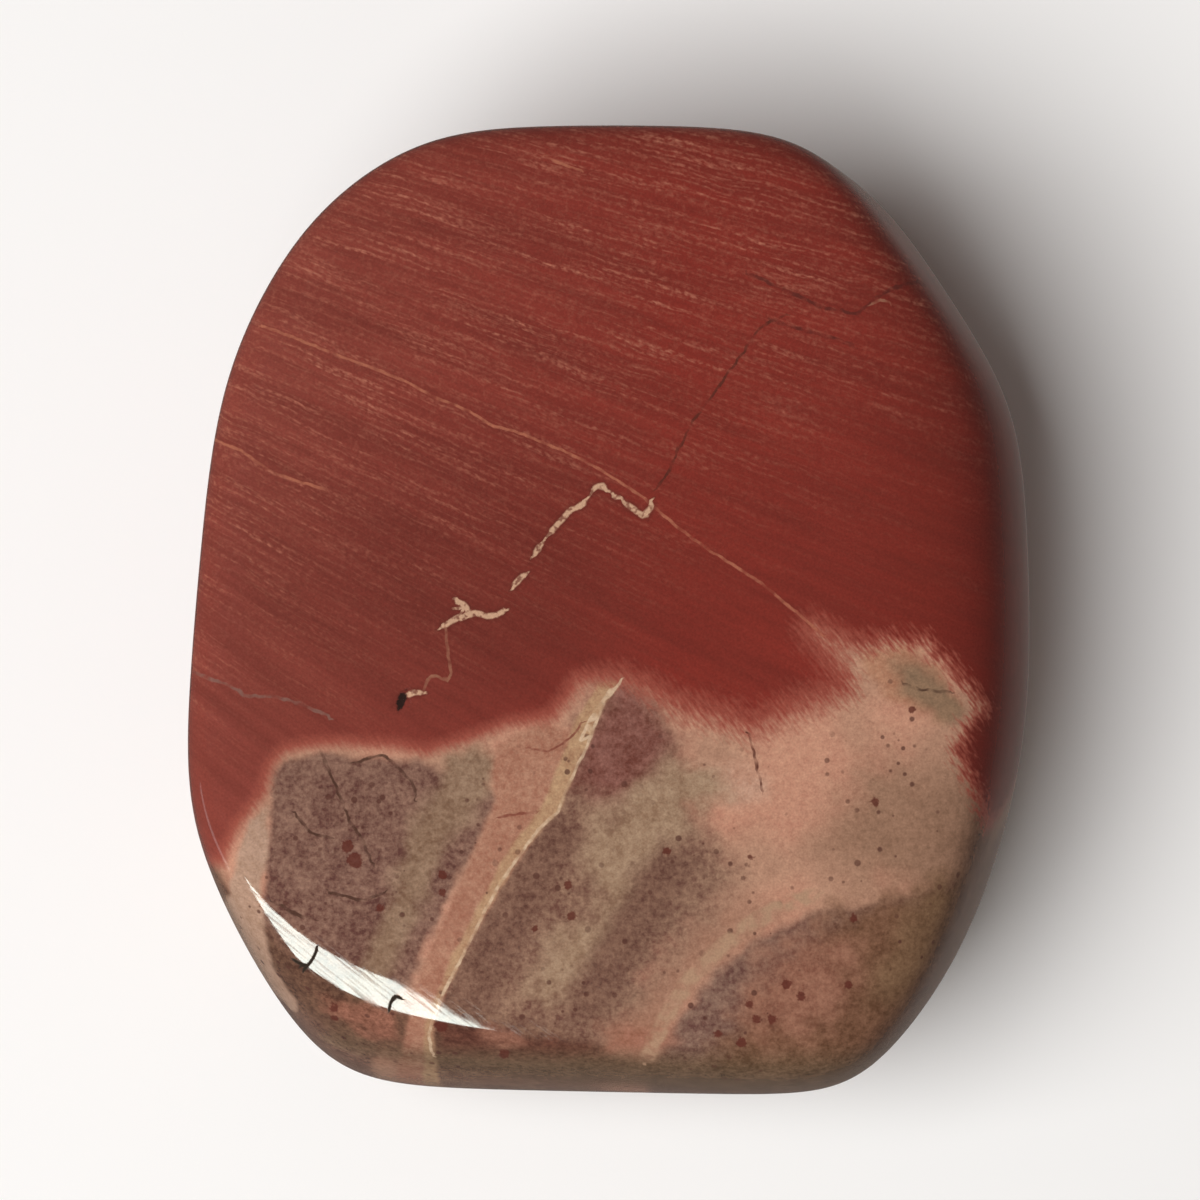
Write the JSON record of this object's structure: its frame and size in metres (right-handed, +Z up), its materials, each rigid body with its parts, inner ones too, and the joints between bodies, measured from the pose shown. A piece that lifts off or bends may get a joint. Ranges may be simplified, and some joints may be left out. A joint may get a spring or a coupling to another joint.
{
  "type": "tumbled stone",
  "caption": "Palm-sized tumbled red jasper: a thick, polished slab of stone with rounded edges, a flat top and a small flat spot to lie on, to hold, collect or set out.",
  "frame": {"origin": "middle of the underside: the centre of the bounding box at the height of the flat spot that the stone lies on", "axes": "+Z up through the thickness, +Y along the length towards the far end, which is all red, +X to the right as seen from above"},
  "size_m": [0.0278, 0.0318, 0.0139],
  "materials": {
    "jasper": "tumble polished, glassy"
  },
  "bodies": {
    "root": {"stone": "jasper"}
  },
  "joints": []
}
